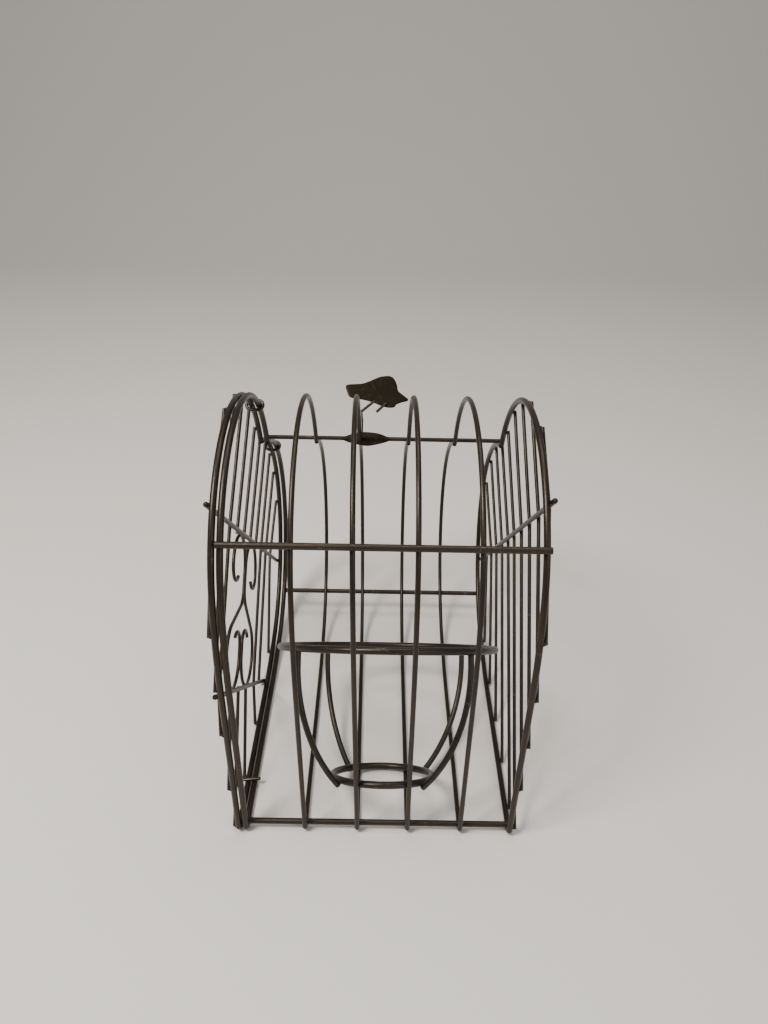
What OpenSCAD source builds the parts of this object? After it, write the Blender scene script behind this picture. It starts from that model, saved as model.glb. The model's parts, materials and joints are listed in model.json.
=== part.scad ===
// Heart-shaped wire bird cage with a drop-in pot basket, lying on one straight side.
// The heart's wires are drawn flat, in a plane with the bottom rod at its zero:
// across is n (to the rear) and up is h. The rods run along X, the door is at -X.

/* [Cage] */
// Width of the heart over its two lobes
heart_w = 358; // [320:1:420]
// Top of the lobes above the centre of the bottom rod
heart_h = 350; // [310:1:400]
// Outer radius of each lobe
lobe_r = 122; // [112:1:126]
// Outer radius of the gentle bend between the straight side and the lobe
side_bend_r = 347; // [260:1:420]
// How far that bend turns, in degrees
side_bend = 12; // [8:1:16]
// Depth of the cage between the centres of its two end frames
cage_depth = 220; // [190:1:260]
// Places of the four hoops along the depth, as bent up by hand
hoop_x = [-61, -17.5, 24.5, 68.5];
// Lean of the four hoops, towards the door at the top, in degrees
hoop_lean = [0.5, 1, 0.3, 0.4];

/* [Wire] */
// Diameter of the end frame and door frame wire
frame_d = 5; // [4:0.5:6]
// Diameter of the hoop wire
hoop_d = 4; // [3:0.5:5]
// Diameter of the bottom, front and rear rods
rod_d = 5; // [4:0.5:6]
// Diameter of the perch rod in the cleft
perch_d = 4; // [3:0.5:5]
// Diameter of the cross bars
cross_d = 4; // [3:0.5:5]
// Diameter of the upright bars and the scrolls
bar_d = 3; // [2.5:0.5:4]
// How deep one wire is fused into the next at a weld
weld = 0.2; // [0.1:0.05:0.4]

/* [Rods] */
// How far the front rod lies below the middle of its lobe, in degrees
front_rod_a = 12; // [2:1:20]
// How far the rear rod lies below the middle of its lobe, in degrees
rear_rod_a = 6; // [2:1:20]

/* [Back panel] */
// Spacing of the ten upright bars
back_pitch = 34.5; // [28:0.5:36]
// How far the feet of the front bars lean back towards the middle
foot_shift = 12; // [0:1:16]
// Height of the cross bar at the middle
back_cross_h = 245; // [200:1:270]
// Slope of every cross bar, rising to the rear, in degrees
cross_slope = 3; // [0:0.5:5]
// How far a cross bar's round end stands past the frame
stub = 6; // [4:1:14]
// How far a bar end runs past the wire that it is welded on
lap = 1.2; // [0.4:0.1:1.2]

/* [Door] */
// Gap between the door frame and the cage's end frame
door_gap = 1; // [0.6:0.1:3]
// Spacing of the ten upright bars
door_pitch = 32; // [30:0.5:34]
// How far the cross bar's round end stands past the frame
door_stub = 1; // [0:0.5:6]
// Height of the cross bar at the middle
door_cross_h = 239; // [225:1:255]
// Height of the lower cross bar at the middle
low_cross_h = 108; // [95:1:120]
// Spacing of the three short bars at the bottom
tail_pitch = 36; // [26:1:44]

/* [Scrolls] */
// Radius of the upper curl
curl_r = 27; // [22:1:28]
// Radius of the inner turn of the upper curl
curl_in_r = 14; // [9:1:16]
// Radius of the lower curl
belly_r = 28; // [24:1:30]
// Radius of the inner turn of the lower curl
belly_in_r = 13; // [9:1:16]
// Straight rise of the lower curl before its inner turn
belly_rise = 8; // [0:1:14]
// Distance from the middle of the door to the widest part of a scroll
scroll_reach = 61; // [58:1:64]
// Radius of the turn where the two scrolls part
part_r = 18; // [14:1:22]
// Angle of the wire between the curls, from straight down
part_a = 62; // [56:1:68]

/* [Hinge rings] */
// Wire diameter of the rings
ring_d = 3; // [2:0.5:4]
// Free play between a ring and the door frame wire
ring_play = 0.4; // [0.4:0.1:0.8]

/* [Door finger] */
// Height of the finger that locates the door on the cage's rear leg
finger_h = 26; // [18:1:60]

/* [Basket] */
// Radius of the top ring, to the middle of its wire
top_ring_r = 93; // [80:1:98]
// Radius of the base ring, to the middle of its wire
base_ring_r = 42; // [30:1:50]
// Distance from the base ring to the top ring
basket_h = 107; // [90:1:125]
// Wire diameter of the two rings
basket_d = 6; // [5:0.5:8]
// Wire diameter of the ribs
rib_d = 5; // [4:0.5:6]
// Length of the straight top of each rib
rib_straight = 8; // [4:1:14]
// Direction of each rib from the middle of the basket, in degrees
rib_at = [40, 128, 219, 314]; // [0:1:360]
// How far the top ring sits towards the back panel
ring_shift = 3; // [-4:0.5:4]
// Lean of the basket towards the front, in degrees
basket_tilt = 4; // [0:0.5:6]

/* [Bird and perch] */
// Thickness of the sheet that the bird and the leaf are cut from
sheet = 1.5; // [1:0.1:2.5]
// Wire diameter of the bird's legs
leg_d = 2.6; // [2:0.2:3]
// Place of the bird's fixed leg along the perch
leg_x = -21.5; // [-24:0.5:-19]
// Half length of the leaf
leaf_l = 23; // [18:1:28]
// Half width of the leaf
leaf_w = 6; // [4:0.5:8]
// Place of the leaf's middle along the perch
leaf_x = -17; // [-22:1:-12]

/* [Hidden] */
$fn = 48;

frame_r = frame_d / 2;
hoop_r = hoop_d / 2;
rod_r = rod_d / 2;
perch_r = perch_d / 2;
cross_r = cross_d / 2;
bar_r = bar_d / 2;

// The heart's half outline for a wire of radius r: an apex bend round the bottom rod,
// a straight side, a gentle bend and the lobe, each tangent to the next.
lobe = [heart_w / 2 - lobe_r, heart_h - lobe_r];
function apex_r(r) = rod_r + r - weld;
function side_a(r) = acos(((side_bend_r - r) - apex_r(r)
    - (side_bend_r - lobe_r) * cos(side_bend)) / norm(lobe)) - atan2(lobe[0], lobe[1]);
function along(a) = [cos(a), sin(a)];
function outward(a) = [sin(a), -cos(a)];
function bend_c(r) = lobe - (side_bend_r - lobe_r) * outward(side_a(r) + side_bend);
function side_end(r) = bend_c(r) + (side_bend_r - r) * outward(side_a(r));

// Height of the frame wire's middle at distance n from the middle plane
function frame_top(n) = lobe[1] + sqrt(pow(lobe_r - frame_r, 2) - pow(abs(n) - lobe[0], 2));
function frame_low(n) = abs(n) < side_end(frame_r)[0]
    ? (abs(n) * sin(side_a(frame_r)) - apex_r(frame_r)) / cos(side_a(frame_r))
    : bend_c(frame_r)[1] - sqrt(pow(side_bend_r - frame_r, 2)
        - pow(abs(n) - bend_c(frame_r)[0], 2));

rest_a = side_a(frame_r);             // the straight side lies flat at this angle
drop = apex_r(frame_r) + frame_r;     // floor below the bottom rod's centre
door_x = -cage_depth / 2 - frame_d - door_gap;
crest_h = heart_h - frame_r;          // middle of the frame wire at the lobe's top

// Layers outside a frame: cross bars on the frame, upright bars over the cross bars
on_frame = frame_r + bar_r - weld;
cross_out = frame_r + cross_r - weld;
over_cross = cross_out + cross_r + bar_r - weld;

// The whole cage is turned to lie on its side, and centred over the floor
span_x = [door_x - over_cross - bar_r, cage_depth / 2 + over_cross + bar_r];
span_y = [min(-drop, [-bend_c(frame_r)[0], bend_c(frame_r)[1]] * along(rest_a) - side_bend_r),
    lobe * along(rest_a) + lobe_r];
module lay()
    translate([-(span_x[0] + span_x[1]) / 2, -(span_y[0] + span_y[1]) / 2, drop])
        rotate([-rest_a, 0, 0]) children();

// Puts a flat drawing of n and h into the cage at x
module at_x(x) translate([x, 0, 0]) rotate([90, 0, 90]) children();
// Puts a flat drawing of x and h into the cage at n
module at_n(n) translate([0, n, 0]) rotate([90, 0, 0]) children();

// Where a bent wire changes from one arc to the next, the two are a hair apart, so that
// each stays an exact solid. At a sharp bend a ball joins the two straight pieces.
hair = 0.005;
nip = 0.1;
ball_r = 0.05;
module joint(p, r) translate([p[0], p[1], len(p) > 2 ? p[2] : 0]) sphere(r + ball_r);

module full_arc(c, big, a0, a1, r)
    translate([c[0], c[1], 0]) rotate([0, 0, a0]) rotate_extrude(angle = a1 - a0, $fn = 96)
        translate([big, 0]) circle(r, $fn = 32);

module arc(c, big, a0, a1, r) {
    trim = hair / big * 180 / PI;
    full_arc(c, big, a0 + trim, a1 - trim, r);
}

module rod(p, q, r) {
    d = q - p;
    translate(p) rotate([0, acos(d[2] / norm(d)), atan2(d[1], d[0])])
        cylinder(h = norm(d), r = r);
}

// A rod that stops short at both ends
module run(p, q, r, short = hair) {
    d = (q - p) / norm(q - p) * short;
    rod(p + d, q - d, r);
}

// A wire through points, with a ball at each inner point
module wire(points, r) {
    for (i = [0:len(points) - 2]) run(points[i], points[i + 1], r, nip);
    if (len(points) > 2)
        for (i = [1:len(points) - 2]) joint(points[i], r);
}

function flat(p) = [p[0], p[1], 0];
module heart_half(r) {
    a = side_a(r);
    big = lobe_r - r;
    run(flat(apex_r(r) * outward(a)), flat(side_end(r)), r);
    arc(bend_c(r), side_bend_r - r, a - 90, a + side_bend - 90, r);
    arc(lobe, big, a + side_bend - 90, acos((0.6 * r - lobe[0]) / big), r);
}

module heart(x, r, lean = 0) translate([x, 0, 0]) rotate([0, -lean, 0]) at_x(0) {
    arc([0, 0], apex_r(r), -90 - side_a(r), -90 + side_a(r), r);
    heart_half(r);
    mirror([1, 0, 0]) heart_half(r);
}

// ---- cage ----
module door_end_frame() color("dimgray") lay() heart(-cage_depth / 2, frame_r);
module back_end_frame() color("dimgray") lay() heart(cage_depth / 2, frame_r);
module hoop(i) color("slategray") lay() heart(hoop_x[i], hoop_r, hoop_lean[i]);

module long_rod(n, h, r) lay()
    rod([-cage_depth / 2 - frame_r, n, h], [cage_depth / 2 + frame_r, n, h], r);
rod_out = lobe_r + rod_r - weld;
perch_h = lobe[1] + sqrt(pow(lobe_r + perch_r - weld, 2) - pow(lobe[0], 2));
module bottom_rod() color("gray") long_rod(0, 0, rod_r);
module front_rod() color("gray") long_rod(-lobe[0] - rod_out * cos(front_rod_a),
    lobe[1] - rod_out * sin(front_rod_a), rod_r);
module rear_rod() color("gray") long_rod(lobe[0] + rod_out * cos(rear_rod_a),
    lobe[1] - rod_out * sin(rear_rod_a), rod_r);
module perch_rod() color("gray") long_rod(0, perch_h, perch_r);

// ---- perch leaf and bird ----
leaf_y = -perch_r - sheet / 2 + weld;
module perch_leaf() color("darkolivegreen") lay() at_n(leaf_y) difference() {
    arc_r = (leaf_l * leaf_l + leaf_w * leaf_w) / (2 * leaf_w);
    translate([leaf_x, perch_h - 1, -sheet / 2]) linear_extrude(sheet) intersection() {
        translate([0, arc_r - leaf_w]) circle(arc_r, $fn = 96);
        translate([0, leaf_w - arc_r]) circle(arc_r, $fn = 96);
    }
    // slot where the second hoop passes
    translate([hoop_x[1] - perch_h * sin(hoop_lean[1]) - hoop_r - 0.4, perch_h - 20, -sheet])
        cube([hoop_d + 0.8, 20 + perch_r - 0.4, 2 * sheet]);
}

bird_outline = [
    [-38, 52], [-36, 54], [-22, 55], [-11, 60], [-2, 63], [5, 63.5], [9, 60], [11.5, 54],
    [12.5, 48], [22, 40], [21, 38], [11, 34.5], [9, 31.5], [5, 31], [-1, 32], [-14, 37],
    [-23, 39], [-31, 40], [-35, 42], [-36, 47]
];
module bird() color("darkolivegreen") lay() at_n(0)
    translate([0, perch_h, -sheet / 2]) linear_extrude(sheet) polygon(bird_outline);

// Legs are welded to the front of the bird; the fixed one stands on the perch rod
leg_y = -(sheet + leg_d) / 2 + weld;
module bird_leg_fixed() color("dimgray") lay()
    wire([[-10, leg_y, perch_h + 37], [leg_x - 1, leg_y, perch_h + 26],
        [leg_x, leg_y, perch_h + 17], [leg_x, 0, perch_h + perch_r - weld]], leg_d / 2);
module bird_leg_free() color("dimgray") lay()
    rod([1, leg_y, perch_h + 35], [-8, leg_y, perch_h + 26], leg_d / 2);

// ---- panels ----
function cross_at(mid, n) = mid + n * tan(cross_slope);

module cross_bar(x, side, mid, left, right)
    rod([x + side * cross_out, left, cross_at(mid, left)],
        [x + side * cross_out, right, cross_at(mid, right)], cross_r);
module cross_end(x, side, mid, n)
    translate([x + side * cross_out, n, cross_at(mid, n)]) sphere(cross_r - ball_r);

full_cross = heart_w / 2 + stub - cross_r;
module back_cross_bar() color("gray") lay() {
    cross_bar(cage_depth / 2, 1, back_cross_h, -full_cross, full_cross - stub);
    cross_end(cage_depth / 2, 1, back_cross_h, -full_cross);
}
module back_bar(i) color("silver") lay() {
    n = (i - 4.5) * back_pitch;
    low_n = n < 0 ? n + foot_shift : n;
    top_h = frame_top(n) + lap;
    low_h = frame_low(low_n) - lap;
    mid_n = n + (low_n - n) * (top_h - back_cross_h) / (top_h - low_h);
    wire([[cage_depth / 2 + on_frame, n, top_h],
        [cage_depth / 2 + over_cross, mid_n, cross_at(back_cross_h, mid_n)],
        [cage_depth / 2 + on_frame, low_n, low_h]], bar_r);
}

// ---- door ----
module door_frame() color("steelblue") lay() heart(door_x, frame_r);
door_cross = heart_w / 2 + door_stub - cross_r;
module door_cross_bar() color("lightsteelblue") lay() {
    cross_bar(door_x, -1, door_cross_h, -door_cross, door_cross);
    cross_end(door_x, -1, door_cross_h, -door_cross);
}
// The lower bar ends on the frame's two straight sides
function low_reach(s) = (low_cross_h * cos(rest_a) + apex_r(frame_r))
    / (sin(rest_a) - s * tan(cross_slope) * cos(rest_a)) + lap;
module door_lower_bar() color("lightsteelblue") lay()
    cross_bar(door_x, -1, low_cross_h, -low_reach(-1), low_reach(1));

// Upright bars: the middle four stop at the cross bar, the next reach the frame over
// the lower bar, and those that meet the lower bar's end stop on it
module door_bar(i) color("lightsteelblue") lay() {
    n = (i - 4.5) * door_pitch;
    top = [door_x - on_frame, n, frame_top(n) + lap];
    mid = [door_x - over_cross, n, cross_at(door_cross_h, n)];
    low_h = cross_at(low_cross_h, n);
    low = [door_x - over_cross, n, low_h];
    end = [door_x - on_frame, n, frame_low(n) - lap];
    clear = 4 * cross_d;
    wire(abs(n) < scroll_reach ? [top, mid, mid - [0, 0, lap]]
        : frame_low(n) < low_h - clear ? [top, mid, low, end]
        : frame_low(n) < low_h ? [top, mid, low - [0, 0, lap]]
        : [top, mid, end], bar_r);
}
module door_tail_bar(i) color("lightsteelblue") lay() {
    n = (i - 1) * tail_pitch;
    low_h = cross_at(low_cross_h, n);
    wire([[door_x - over_cross, n, low_h + lap], [door_x - over_cross, n, low_h],
        [door_x - on_frame, n, abs(n) < frame_d ? -apex_r(frame_r) : frame_low(n) - lap]],
        bar_r);
}

// One scroll, drawn for the rear side (s = 1) or to be mirrored to the front (s = -1):
// an upper curl across the cross bar, a run down, and a lower curl across the lower bar
module scroll(s) {
    n0 = bar_r - weld / 2;
    top = [n0 + curl_r, cross_at(door_cross_h, s * (n0 + curl_r)) - curl_r];
    belly_n = scroll_reach - belly_r;
    belly = [belly_n, cross_at(low_cross_h, s * belly_n) + belly_r];
    reach = belly[0] - n0 - part_r;
    part = [n0 + part_r, belly[1]
        + (reach * cos(part_a) + belly_r + part_r) / sin(part_a)];
    over = [n0 + 2 * curl_r - curl_in_r, top[1]];
    a = part - part_r * along(part_a);
    b = belly + belly_r * along(part_a);
    under = [belly[0] - belly_r + belly_in_r, belly[1] + belly_rise];
    run(flat(belly) - [belly_r, 0, 0], flat(under) - [belly_in_r, 0, 0], bar_r);
    arc(over, curl_in_r, -140, 0, bar_r);
    arc(top, curl_r, 0, 180, bar_r);
    run([n0, top[1], 0], [n0, part[1], 0], bar_r);
    arc(part, part_r, 180, 180 + part_a, bar_r);
    run(flat(a), flat(b), bar_r);
    arc(belly, belly_r, -180, part_a, bar_r);
    arc(under, belly_in_r, 35, 180, bar_r);
}
module scroll_rear() color("lightsteelblue") lay() at_x(door_x - over_cross) scroll(1);
module scroll_front() color("lightsteelblue") lay()
    at_x(door_x - over_cross) mirror([1, 0, 0]) scroll(-1);

// ---- hinge rings and finger ----
// A ring is fused to the top of the cage's end frame and holds the door frame loosely
module hinge_ring(side) color("gold") lay() at_n(side * lobe[0]) {
    big = frame_r + ring_play + ring_d / 2;
    cage_side = -cage_depth / 2 - ring_play - weld;
    full_arc([door_x, crest_h], big, 90, 270, ring_d / 2);
    full_arc([cage_side, crest_h], big, -90, 90, ring_d / 2);
    for (s = [-1, 1]) rod([door_x, crest_h + s * big, 0],
        [cage_side, crest_h + s * big, 0], ring_d / 2);
}

// The finger is welded across the door's rear leg and reaches over the cage's leg
module door_finger() color("gold") lay() {
    foot = [(apex_r(frame_r) + finger_h * cos(rest_a)) / sin(rest_a), finger_h];
    low = foot - (frame_r + bar_r - weld) * outward(rest_a);
    high = foot - (frame_r + bar_r + ring_play + 0.4) * outward(rest_a);
    near = -cage_depth / 2;
    slope = (high - low) / (near - door_x);
    a = low - slope * (frame_r + 1);
    b = high + slope * (frame_r + 2);
    rod([door_x - frame_r - 1, a[0], a[1]], [near + frame_r + 2, b[0], b[1]], bar_r);
    translate([near + frame_r + 2, b[0], b[1]]) sphere(bar_r - ball_r);
}

// ---- basket ----
// The base ring is welded to both legs of the two middle hoops
seat_h = 0.7 * base_ring_r;
seat_x = [for (i = [1, 2]) hoop_x[i] - seat_h * sin(hoop_lean[i])];
basket_x = (seat_x[0] + seat_x[1]) / 2;
hoop_off = (seat_x[1] - seat_x[0]) / 2;
hoop_a = side_a(hoop_r);
ring_half = sqrt(base_ring_r * base_ring_r - hoop_off * hoop_off);
touch = (basket_d / 2 + hoop_r - weld)
    * sqrt(pow(ring_half, 2) + pow(hoop_off * sin(hoop_a), 2)) / ring_half;
base_at = [ring_half * sin(basket_tilt) * cos(hoop_a) / sin(hoop_a),
    (touch - apex_r(hoop_r) + ring_half * cos(basket_tilt) * sin(hoop_a)) / cos(hoop_a)];
module in_basket() lay()
    translate([basket_x, base_at[0], base_at[1]]) rotate([basket_tilt, 0, 0]) children();

module ring(big, r) rotate_extrude($fn = 96) translate([big, 0]) circle(r, $fn = 32);
module basket_top_ring() color("peru") in_basket()
    translate([ring_shift, 0, basket_h]) ring(top_ring_r, basket_d / 2);
module basket_base_ring() color("peru") in_basket() ring(base_ring_r, basket_d / 2);

// A rib hangs under the top ring and curves in until it slants against the outside of
// the base ring
rib_top = basket_h - basket_d / 2 + weld;
rib_fall = rib_top - rib_straight + basket_d / 2;
module basket_rib(i) color("burlywood") in_basket() {
    a = rib_at[i];
    slant = 2 * atan((norm((top_ring_r - base_ring_r) * along(a) + [ring_shift, 0])
        - basket_d) / rib_fall);
    foot = (base_ring_r + ((basket_d + rib_d) / 2 - weld - basket_d / 2 * sin(slant))
        / cos(slant)) * along(a);
    reach = top_ring_r * along(a) + [ring_shift, 0] - foot;
    in = norm(reach);
    big = (in * in + rib_fall * rib_fall) / (2 * in);
    translate([foot[0], foot[1], 0]) rotate([0, 0, atan2(reach[1], reach[0])])
        rotate([90, 0, 0]) {
            run([in, rib_top - rib_straight, 0], [in, rib_top, 0], rib_d / 2);
            arc([in - big, rib_top - rib_straight], big, -asin(rib_fall / big), 0,
                rib_d / 2);
        }
}

door_end_frame();
back_end_frame();
hoop(0);  // hoop_1
hoop(1);  // hoop_2
hoop(2);  // hoop_3
hoop(3);  // hoop_4
bottom_rod();
front_rod();
rear_rod();
perch_rod();
perch_leaf();
bird();
bird_leg_fixed();
bird_leg_free();
back_cross_bar();
back_bar(0);  // back_bar_1
back_bar(1);  // back_bar_2
back_bar(2);  // back_bar_3
back_bar(3);  // back_bar_4
back_bar(4);  // back_bar_5
back_bar(5);  // back_bar_6
back_bar(6);  // back_bar_7
back_bar(7);  // back_bar_8
back_bar(8);  // back_bar_9
back_bar(9);  // back_bar_10
door_frame();
door_cross_bar();
door_lower_bar();
door_bar(0);  // door_bar_1
door_bar(1);  // door_bar_2
door_bar(2);  // door_bar_3
door_bar(3);  // door_bar_4
door_bar(4);  // door_bar_5
door_bar(5);  // door_bar_6
door_bar(6);  // door_bar_7
door_bar(7);  // door_bar_8
door_bar(8);  // door_bar_9
door_bar(9);  // door_bar_10
door_tail_bar(0);  // door_tail_bar_1
door_tail_bar(1);  // door_tail_bar_2
door_tail_bar(2);  // door_tail_bar_3
scroll_front();
scroll_rear();
hinge_ring(-1);  // hinge_ring_front
hinge_ring(1);  // hinge_ring_rear
door_finger();
basket_top_ring();
basket_base_ring();
basket_rib(0);  // basket_rib_1
basket_rib(1);  // basket_rib_2
basket_rib(2);  // basket_rib_3
basket_rib(3);  // basket_rib_4
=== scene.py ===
import bpy, json, math
from mathutils import Vector, Matrix, noise
from mathutils.bvhtree import BVHTree
from mathutils.geometry import intersect_ray_tri


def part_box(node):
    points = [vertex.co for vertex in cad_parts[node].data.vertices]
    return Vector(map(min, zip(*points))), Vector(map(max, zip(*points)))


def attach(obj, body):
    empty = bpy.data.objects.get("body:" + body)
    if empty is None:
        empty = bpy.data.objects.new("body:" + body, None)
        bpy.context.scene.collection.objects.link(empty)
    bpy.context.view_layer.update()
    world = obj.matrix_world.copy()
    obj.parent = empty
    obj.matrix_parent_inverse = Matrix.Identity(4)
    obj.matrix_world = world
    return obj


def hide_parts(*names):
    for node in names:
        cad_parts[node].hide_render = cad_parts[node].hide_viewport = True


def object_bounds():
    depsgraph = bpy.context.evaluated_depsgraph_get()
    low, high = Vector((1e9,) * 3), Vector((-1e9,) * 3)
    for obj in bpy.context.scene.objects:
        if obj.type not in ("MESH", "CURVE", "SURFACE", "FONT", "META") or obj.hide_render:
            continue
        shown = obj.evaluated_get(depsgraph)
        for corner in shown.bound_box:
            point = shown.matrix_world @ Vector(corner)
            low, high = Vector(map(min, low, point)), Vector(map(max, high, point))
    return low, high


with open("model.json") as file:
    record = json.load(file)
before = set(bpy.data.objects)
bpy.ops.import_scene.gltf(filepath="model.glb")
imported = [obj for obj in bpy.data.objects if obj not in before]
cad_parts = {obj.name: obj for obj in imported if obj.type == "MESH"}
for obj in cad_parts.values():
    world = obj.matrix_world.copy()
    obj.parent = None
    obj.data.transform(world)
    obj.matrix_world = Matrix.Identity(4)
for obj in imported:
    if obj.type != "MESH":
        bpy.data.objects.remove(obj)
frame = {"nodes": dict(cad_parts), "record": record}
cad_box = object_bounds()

nodes = frame["nodes"]


# Camera. It stands in front of the cage's open side, a little above it, and looks
# down at about a third of a right angle, with a wide phone lens held almost level.
lens_at = Vector((0.0, -0.542, 0.561))
right = Vector((0.9998, 0.0051, 0.0182)).normalized()
ahead = Vector((0.0055, 0.8432, -0.5377)).normalized()
above = right.cross(ahead).normalized()
ahead = above.cross(right)
camera = bpy.data.objects.new("camera", bpy.data.cameras.new("camera"))
bpy.context.scene.collection.objects.link(camera)
camera.matrix_world = Matrix((
    (right.x, above.x, -ahead.x, lens_at.x),
    (right.y, above.y, -ahead.y, lens_at.y),
    (right.z, above.z, -ahead.z, lens_at.z),
    (0, 0, 0, 1)))
camera.data.sensor_fit = "AUTO"
camera.data.sensor_width = 36
camera.data.lens = 26.0
camera.data.clip_start = 0.01
bpy.context.scene.camera = camera


# End frames and hoops. Six hearts, each bent from one length of round mild steel wire and
# welded shut at the point, then sprayed with a thin satin bronze-black paint that is a
# little rubbed where hands and pots have touched it.
def node(material, kind, **settings):
    made = material.node_tree.nodes.new(kind)
    for name, value in settings.items():
        if name in made.inputs:
            made.inputs[name].default_value = value
        else:
            setattr(made, name, value)
    return made


def join(material, a, b):
    material.node_tree.links.new(a, b)


def fade(material, amount, stops):
    ramp = node(material, "ShaderNodeValToRGB")
    while len(ramp.color_ramp.elements) < len(stops):
        ramp.color_ramp.elements.new(0.5)
    for element, (place, shade) in zip(ramp.color_ramp.elements, stops):
        element.position = place
        element.color = (*shade, 1) if hasattr(shade, "__len__") else (shade, shade, shade, 1)
    join(material, amount, ramp.inputs["Fac"])
    return ramp.outputs["Color"]


def blend(material, how_much, a, b):
    mix = node(material, "ShaderNodeMix", data_type="RGBA")
    join(material, how_much, mix.inputs[0])
    for value, socket in ((a, mix.inputs[6]), (b, mix.inputs[7])):
        if hasattr(value, "links"):
            join(material, value, socket)
        else:
            socket.default_value = (*value, 1)
    return mix.outputs[2]


def sprayed_wire(name, dark, body, rubbed, wear=0.5, grain=1.0, sheen=0.3):
    """Satin sprayed paint: cloudy colour, orange-peel grain, rubbed spots and dust specks."""
    paint = bpy.data.materials.new(name)
    paint.use_nodes = True
    shader = paint.node_tree.nodes["Principled BSDF"]
    place = node(paint, "ShaderNodeTexCoord").outputs["Object"]
    cloud = node(paint, "ShaderNodeTexNoise", Scale=22.0, Detail=6.0, Roughness=0.55)
    scuff = node(paint, "ShaderNodeTexNoise", Scale=260.0, Detail=9.0, Roughness=0.7,
                 Distortion=1.2)
    where = node(paint, "ShaderNodeTexNoise", Scale=30.0, Detail=2.0, Roughness=0.5)
    peel = node(paint, "ShaderNodeTexNoise", Scale=2100.0, Detail=3.0, Roughness=0.55)
    speck = node(paint, "ShaderNodeTexVoronoi", Scale=520.0, Randomness=1.0)
    for texture in (cloud, scuff, where, peel, speck):
        join(paint, place, texture.inputs["Vector"])
    cloudy = fade(paint, cloud.outputs["Fac"], [(0.3, 0.0), (0.7, 1.0)])
    colour = blend(paint, cloudy, dark, body)
    grainy = fade(paint, peel.outputs["Fac"], [(0.35, 0.0), (0.75, 0.35)])
    colour = blend(paint, grainy, colour, tuple(1.8 * c for c in body))
    rub = node(paint, "ShaderNodeMath", operation="MULTIPLY")
    join(paint, fade(paint, scuff.outputs["Fac"], [(0.56, 0.0), (0.68, 1.0)]), rub.inputs[0])
    worn = [(0.62 - 0.14 * wear, 0.0), (0.72 - 0.1 * wear, 0.8)]
    join(paint, fade(paint, where.outputs["Fac"], worn), rub.inputs[1])
    colour = blend(paint, rub.outputs[0], colour, rubbed)
    dust = fade(paint, speck.outputs["Distance"], [(0.04, 0.7), (0.09, 0.0)])
    colour = blend(paint, dust, colour, tuple(0.5 * c + 0.04 for c in rubbed))
    join(paint, colour, shader.inputs["Base Color"])
    satin = fade(paint, scuff.outputs["Fac"], [(0.3, 0.44), (0.7, 0.30)])
    join(paint, satin, shader.inputs["Roughness"])
    flaky = fade(paint, cloud.outputs["Fac"], [(0.3, 0.5), (0.7, 0.72)])
    join(paint, flaky, shader.inputs["Metallic"])
    ripple = node(paint, "ShaderNodeBump", Strength=0.3 * grain, Distance=0.0001)
    join(paint, peel.outputs["Fac"], ripple.inputs["Height"])
    lumps = node(paint, "ShaderNodeBump", Strength=0.4 * grain, Distance=0.00025)
    join(paint, scuff.outputs["Fac"], lumps.inputs["Height"])
    join(paint, ripple.outputs["Normal"], lumps.inputs["Normal"])
    join(paint, lumps.outputs["Normal"], shader.inputs["Normal"])
    shader.inputs["Specular IOR Level"].default_value = sheen
    shader.inputs["Coat Weight"].default_value = sheen / 3
    shader.inputs["Coat Roughness"].default_value = 0.28
    return paint


def coat(names, paint):
    """Sprays the named wires with one paint."""
    for name in names:
        mesh = nodes[name].data
        mesh.materials.clear()
        mesh.materials.append(paint)


bodies = frame["record"]["behaviour"]["bodies"]
hoop_paint = sprayed_wire("hoop_paint", (0.012, 0.009, 0.006), (0.034, 0.026, 0.018),
                          (0.15, 0.125, 0.09))
hearts = [n for n in bodies["cage"] if n.startswith(("hoop", "door_end", "back_end"))]
coat(hearts, hoop_paint)


# Rods. Four straight steel rods are spot-welded across the hearts and hold them apart.
# They are the brightest wires, as they are handled most: their paint is thinner and more
# rubbed.
rod_paint = sprayed_wire("rod_paint", (0.015, 0.011, 0.007), (0.044, 0.034, 0.024),
                         (0.19, 0.16, 0.12), wear=0.9)
coat(["bottom_rod", "front_rod", "rear_rod", "perch_rod"], rod_paint)


# Back panel. Thin steel bars sprung over one cross bar and spot-welded to it and to the
# back end frame. Its paint is a little darker and fresher, as nobody touches it.
panel_paint = sprayed_wire("panel_paint", (0.011, 0.008, 0.005), (0.031, 0.024, 0.016),
                           (0.13, 0.11, 0.08), wear=0.3)
panel = [n for n in bodies["cage"] if n.startswith(("back_bar", "back_cross"))]
coat(panel, panel_paint)


# Door. Its own heart frame with two cross bars, thin uprights and a pair of bent scrolls,
# all of steel wire, spot-welded flat on a jig and sprayed after welding.
door_paint = sprayed_wire("door_paint", (0.011, 0.008, 0.005), (0.033, 0.025, 0.017),
                          (0.14, 0.115, 0.085), wear=0.5)
coat(bodies["door"], door_paint)


# Hinge rings and the door's finger. Two short wires are closed round the frames at the
# tops of the lobes, and a third is welded low on the door. The moving door rubs them.
ring_paint = sprayed_wire("ring_paint", (0.018, 0.014, 0.009), (0.05, 0.04, 0.028),
                          (0.25, 0.21, 0.15), wear=1.0)
coat(["hinge_ring_front", "hinge_ring_rear", "door_finger"], ring_paint)


# Basket. Two rings of heavier steel wire joined by four bowed ribs and welded down on the
# middle hoops. Pots have scuffed the paint.
basket_paint = sprayed_wire("basket_paint", (0.012, 0.01, 0.007), (0.036, 0.029, 0.021),
                            (0.17, 0.145, 0.11), wear=0.8)
coat([n for n in bodies["cage"] if n.startswith("basket")], basket_paint)


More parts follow.
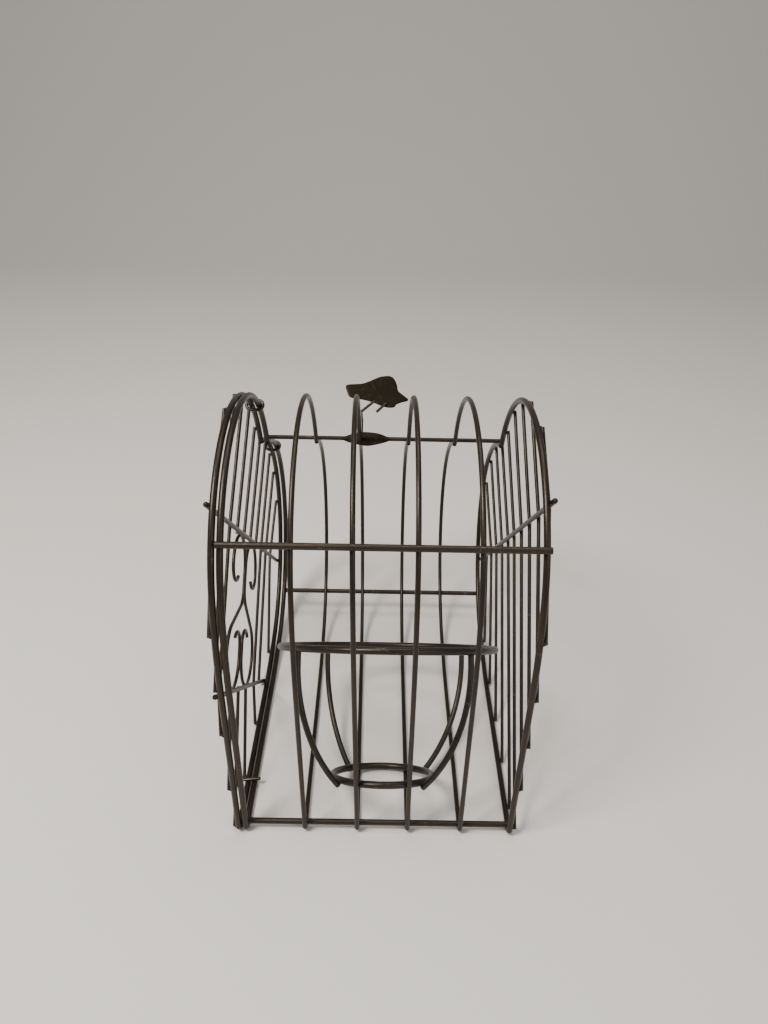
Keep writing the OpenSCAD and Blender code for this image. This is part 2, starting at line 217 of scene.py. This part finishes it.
# Spot welds. Where two wires cross, the welding press leaves a small squeezed-out bead of
# burnt steel that the paint rounds over. One skin of beads rides with the cage and one
# with the door.
weld_paint = sprayed_wire("weld_paint", (0.01, 0.008, 0.005), (0.028, 0.022, 0.015),
                          (0.11, 0.09, 0.065), wear=0.6, grain=2.2)
bead_r, bead_vary, bead_lump = 0.00165, 0.00035, 0.22
bead_apart = 0.007
bead_turns, bead_rises = 14, 9


def skin(name, points, faces, paint, body):
    """One painted mesh that rides with a body."""
    mesh = bpy.data.meshes.new(name)
    mesh.from_pydata(points, [], faces)
    mesh.update()
    mesh.polygons.foreach_set("use_smooth", [True] * len(mesh.polygons))
    mesh.materials.append(paint)
    made = bpy.data.objects.new(name, mesh)
    bpy.context.scene.collection.objects.link(made)
    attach(made, body)
    return made


skins = {}


def wire_skin(name):
    """A wire's surface, kept for finding where another wire crosses it."""
    if name not in skins:
        mesh = nodes[name].data
        mesh.calc_loop_triangles()
        points = [v.co.copy() for v in mesh.vertices]
        flats = [tuple(t.vertices) for t in mesh.loop_triangles]
        skins[name] = (BVHTree.FromPolygons(points, flats), points, flats)
    return skins[name]


def touching_places(first, second):
    """Where two wires' skins cross, gathered into one place per weld."""
    tree_a, points_a, flats_a = wire_skin(first)
    tree_b, points_b, flats_b = wire_skin(second)
    found = []
    for i, j in tree_a.overlap(tree_b):
        one = [points_a[k] for k in flats_a[i]]
        two = [points_b[k] for k in flats_b[j]]
        for edges, flat in ((one, two), (two, one)):
            for k in range(3):
                start, end = edges[k], edges[(k + 1) % 3]
                edge = end - start
                hit = intersect_ray_tri(*flat, edge, start, True)
                if hit and (hit - start).dot(edge) >= 0 and (hit - start).length <= edge.length:
                    found.append(hit)
    places = []
    for hit in found:
        near = [g for g in places if (g[0] / g[1] - hit).length < bead_apart]
        if near:
            near[0][0], near[0][1] = near[0][0] + hit, near[0][1] + 1
        else:
            places.append([hit.copy(), 1])
    return [total / many for total, many in places]


def add_bead(place, size, points, faces):
    """A lumpy round bead, closed by a fan of faces at its top and bottom."""
    def lumpy(way):
        return place + way * size * (1 + bead_lump * noise.noise(place * 300 + way * 1.7))

    start = len(points)
    for r in range(1, bead_rises):
        up = math.pi * r / bead_rises
        for t in range(bead_turns):
            a = 2 * math.pi * t / bead_turns
            points.append(lumpy(Vector((math.sin(up) * math.cos(a),
                                        math.sin(up) * math.sin(a), math.cos(up)))))
    last = len(points) - bead_turns
    for r in range(bead_rises - 2):
        for t in range(bead_turns):
            a = start + r * bead_turns + t
            b = start + r * bead_turns + (t + 1) % bead_turns
            faces.append((a, a + bead_turns, b + bead_turns, b))
    for ring, way in ((start, Vector((0, 0, 1))), (last, Vector((0, 0, -1)))):
        hub = len(points)
        points.append(lumpy(way))
        for t in range(bead_turns):
            a, b = ring + t, ring + (t + 1) % bead_turns
            faces.append((a, b, hub) if way.z > 0 else (b, a, hub))


for body in ("cage", "door"):
    points, faces = [], []
    for first, second in frame["record"]["behaviour"]["press_fits"]:
        if first not in bodies[body] or {first, second} & {"perch_leaf", "bird"}:
            continue
        for place in touching_places(first, second):
            size = bead_r + bead_vary * noise.noise(place * 900)
            room = min(min(place[k] - cad_box[0][k], cad_box[1][k] - place[k])
                       for k in range(3))
            add_bead(place, min(size, room * 0.8), points, faces)
    skin("weld_beads_" + body, points, faces, weld_paint, body)


# Leaf. A short length of the perch flattened under a press into a pointed leaf, with a
# crease down its middle and thin, slightly waved edges. It is welded to the perch rod.
sheet_paint = sprayed_wire("sheet_paint", (0.006, 0.004, 0.002), (0.015, 0.011, 0.005),
                           (0.06, 0.045, 0.025), wear=0.3, grain=1.6, sheen=0.12)
rest_a = math.radians(45.368)
across = Vector((0, math.cos(rest_a), -math.sin(rest_a)))
upward = Vector((0, math.sin(rest_a), math.cos(rest_a)))
leaf_low, leaf_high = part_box("perch_leaf")
perch_low, perch_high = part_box("perch_rod")
perch_mid = (perch_low + perch_high) / 2
leaf_mid = Vector(((leaf_low.x + leaf_high.x) / 2, perch_mid.y, perch_mid.z))
leaf_half = (leaf_high.x - leaf_low.x) / 2
leaf_wide, leaf_thick, leaf_tip = 0.0062, 0.0006, 0.0007
crease_high, vein_high, wave_high = 0.0006, 0.00012, 0.0005
leaf_down, leaf_back = 0.001, 0.0024
along, round_it = 72, 20
points, faces = [], []
for i in range(along + 1):
    t = -1 + 2 * i / along
    wide = leaf_wide * (1 - abs(t) ** 1.8) ** 0.9 + leaf_tip
    thick = leaf_thick * (1 - 0.5 * abs(t))
    for k in range(round_it):
        a = 2 * math.pi * k / round_it
        v = math.cos(a)
        crease = crease_high * math.exp(-(v / 0.16) ** 2) * (1 - abs(t) ** 3)
        veins = vein_high * math.sin(34 * (t + 0.35 * abs(v))) * (1 - v * v)
        wave = wave_high * math.sin(7 * t + 1.0) * v * v
        off = math.sin(a) * (thick + crease + veins)
        at = leaf_mid + Vector((t * leaf_half, 0, 0)) + upward * (v * wide - leaf_down)
        points.append(at - across * (leaf_back - wave) + across * off)
for i in range(along):
    for k in range(round_it):
        a, b = i * round_it + k, i * round_it + (k + 1) % round_it
        faces.append((a, b, b + round_it, a + round_it))
faces.append(tuple(range(round_it))[::-1])
faces.append(tuple(range(along * round_it, (along + 1) * round_it)))
leaf = skin("pressed_leaf", points, faces, sheet_paint, "cage")
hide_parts("perch_leaf")


# Bird. A small perching bird snipped from thin steel sheet, with a softly rounded outline,
# a slightly dished body and a rolled edge; two bits of wire are welded on for legs.
# The outline, in millimetres, goes from its tail along the back, head, beak and belly.
bird_low, bird_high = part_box("bird")
outline = [(-38.0, 51.5), (-36.2, 53.8), (-29.5, 54.5), (-22.5, 55.2), (-16.5, 57.3),
           (-11.0, 60.0), (-6.5, 62.0), (-1.5, 63.2), (4.0, 63.4), (7.3, 61.8), (9.6, 58.6),
           (11.2, 54.2), (12.2, 49.2), (13.6, 47.3), (17.8, 43.8), (21.9, 40.3), (21.2, 38.2),
           (16.0, 36.6), (11.2, 34.6), (9.2, 32.0), (6.0, 31.1), (1.5, 31.4), (-4.0, 33.0),
           (-9.5, 35.3), (-15.0, 37.3), (-22.0, 38.9), (-29.0, 39.8), (-34.2, 41.6),
           (-36.3, 45.8)]
middle = Vector((-8.0, 47.0))


def rounded(corners, steps):
    """A smooth closed curve through the corners."""
    curve, n = [], len(corners)
    for i in range(n):
        a, b, c, d = (Vector(corners[(i + k) % n]) for k in (-1, 0, 1, 2))
        for j in range(steps):
            t = j / steps
            bend = (2 * a - 5 * b + 4 * c - d) * t ** 2 + (3 * b - a - 3 * c + d) * t ** 3
            curve.append(0.5 * (2 * b + (c - a) * t + bend))
    return curve


rim = rounded(outline, 5)
edge_roll = [(1.0, 0.0), (0.995, 0.35), (0.985, 0.6), (0.96, 0.72), (0.9, 0.75),
             (0.75, 0.76), (0.55, 0.78), (0.3, 0.8)]
bird_shift = bird_high.x - 0.022
points, faces = [], []


def on_bird(p, out):
    """A point of the sheet, that far out of its middle plane, in millimetres."""
    dish = 0.35 * math.cos((p.x + 8) / 22) - 0.3 * abs(p.y - 47) / 16
    feather = 0.10 * math.sin(1.1 * (p.x + 0.6 * p.y)) * max(0, 1 - ((p.x + 14) / 16) ** 2)
    side = dish + (out + feather * abs(out)) * (0.93 if out else 1)
    foot = Vector((bird_shift + p.x / 1000, perch_mid.y, perch_mid.z))
    return foot + upward * (p.y / 1000) + across * (side / 1000)


loops = edge_roll[::-1] + [(share, -out) for share, out in edge_roll[1:]]
for share, out in loops:
    for p in rim:
        points.append(on_bird(middle + (p - middle) * share, out))
count = len(rim)
for i in range(len(loops) - 1):
    for k in range(count):
        a, b = i * count + k, i * count + (k + 1) % count
        faces.append((a, a + count, b + count, b))
for start, out in ((0, 0.8), (len(loops) - 1, -0.8)):
    hub = len(points)
    points.append(on_bird(middle, out))
    for k in range(count):
        a, b = start * count + k, start * count + (k + 1) % count
        faces.append((a, b, hub) if start == 0 else (b, a, hub))
bird = skin("snipped_bird", points, faces, sheet_paint, "cage")
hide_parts("bird")
coat(["bird_leg_fixed", "bird_leg_free"], rod_paint)


# Floor. A plain pale matt studio sheet. It lies flat under the cage, runs out behind it
# and sweeps up in one wide curve.
sweep_at, sweep_r, sweep_steps = 1.6, 1.2, 16
deep = [(-6.0, 0.0), (sweep_at, 0.0)]
for step in range(1, sweep_steps + 1):
    a = step * math.pi / (2 * sweep_steps)
    deep.append((sweep_at + sweep_r * math.sin(a), sweep_r - sweep_r * math.cos(a)))
deep.append((sweep_at + sweep_r, 7.0))
under = cad_box[0].z - 0.0002
points = [(x, y, under + z) for y, z in deep for x in (-7.0, 7.0)]
faces = [(2 * i, 2 * i + 1, 2 * i + 3, 2 * i + 2) for i in range(len(deep) - 1)]
floor_mesh = bpy.data.meshes.new("floor")
floor_mesh.from_pydata(points, [], faces)
floor_mesh.polygons.foreach_set("use_smooth", [True] * len(faces))
floor = bpy.data.objects.new("floor", floor_mesh)
bpy.context.scene.collection.objects.link(floor)
floor_paint = bpy.data.materials.new("floor_paint")
floor_paint.use_nodes = True
floor_shader = floor_paint.node_tree.nodes["Principled BSDF"]
floor_shader.inputs["Base Color"].default_value = (0.74, 0.71, 0.67, 1)
floor_shader.inputs["Roughness"].default_value = 0.8
floor.data.materials.append(floor_paint)


# Light. A soft light above and to the left of the camera, a weaker broad one to its right,
# another overhead, and a pale surround.
def soft_light(name, at, size, power, shade):
    lamp = bpy.data.lights.new(name, "AREA")
    lamp.shape = "RECTANGLE"
    lamp.size, lamp.size_y = size
    lamp.energy = power
    lamp.color = shade
    held = bpy.data.objects.new(name, lamp)
    held.location = at
    aim = Vector((0, 0, 0.15)) - Vector(at)
    held.rotation_euler = aim.to_track_quat("-Z", "Y").to_euler()
    bpy.context.scene.collection.objects.link(held)


soft_light("main_light", (-0.75, -0.55, 1.5), (0.45, 0.45), 30, (1.0, 0.96, 0.90))
soft_light("fill_light", (1.2, -1.3, 1.0), (1.2, 0.9), 8, (0.95, 0.97, 1.0))
soft_light("top_light", (0.1, 0.3, 1.7), (1.1, 0.5), 9, (1.0, 0.98, 0.95))
surround = bpy.data.worlds.new("surround")
surround.use_nodes = True
pale = surround.node_tree.nodes["Background"]
pale.inputs["Color"].default_value = (0.86, 0.84, 0.82, 1)
pale.inputs["Strength"].default_value = 0.4
bpy.context.scene.world = surround
